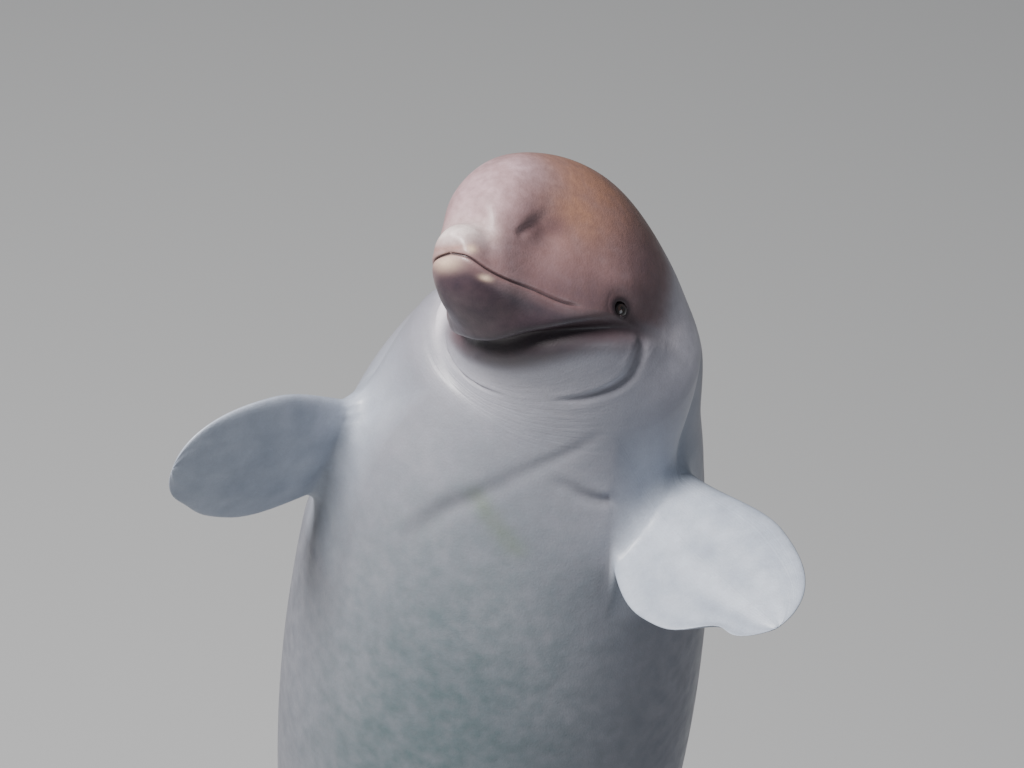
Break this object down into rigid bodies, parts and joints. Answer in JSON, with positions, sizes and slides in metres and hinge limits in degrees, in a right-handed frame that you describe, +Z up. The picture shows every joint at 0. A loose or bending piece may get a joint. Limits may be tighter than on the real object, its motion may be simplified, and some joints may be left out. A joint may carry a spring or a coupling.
{
  "type": "beluga whale display model",
  "caption": "Life-size still model of an adult beluga whale held upright over a flat base by short rods, head turned to its right and flippers spread.",
  "frame": {"origin": "middle of the underside of the stand's base", "axes": "+Z up, along the hanging body towards the head; -Y the way the belly faces; +X towards the whale's left"},
  "size_m": [1.7688, 1.8542, 4.1942],
  "materials": {
    "skin": "smooth damp skin, pale grey-white on the body, pinkish beige on the head and dusky under the jaw",
    "eye": "dark brown, polished and wet looking",
    "stand_base": "board with dark grey satin paint and rounded edges",
    "stand_rod": "round steel bar, brushed along its length"
  },
  "bodies": {
    "root": {"head": "skin", "melon": "skin", "lower_jaw": "skin", "eye_left": "eye", "eye_right": "eye", "neck": "skin", "chest": "skin", "belly": "skin", "loin": "skin", "tail_stock": "skin", "fluke_left": "skin", "fluke_right": "skin", "flipper_left": "skin", "flipper_right": "skin", "stand_base": "stand_base", "stand_foot_left": "stand_rod", "stand_foot_right": "stand_rod", "stand_rod_left": "stand_rod", "stand_rod_right": "stand_rod"}
  },
  "joints": []
}
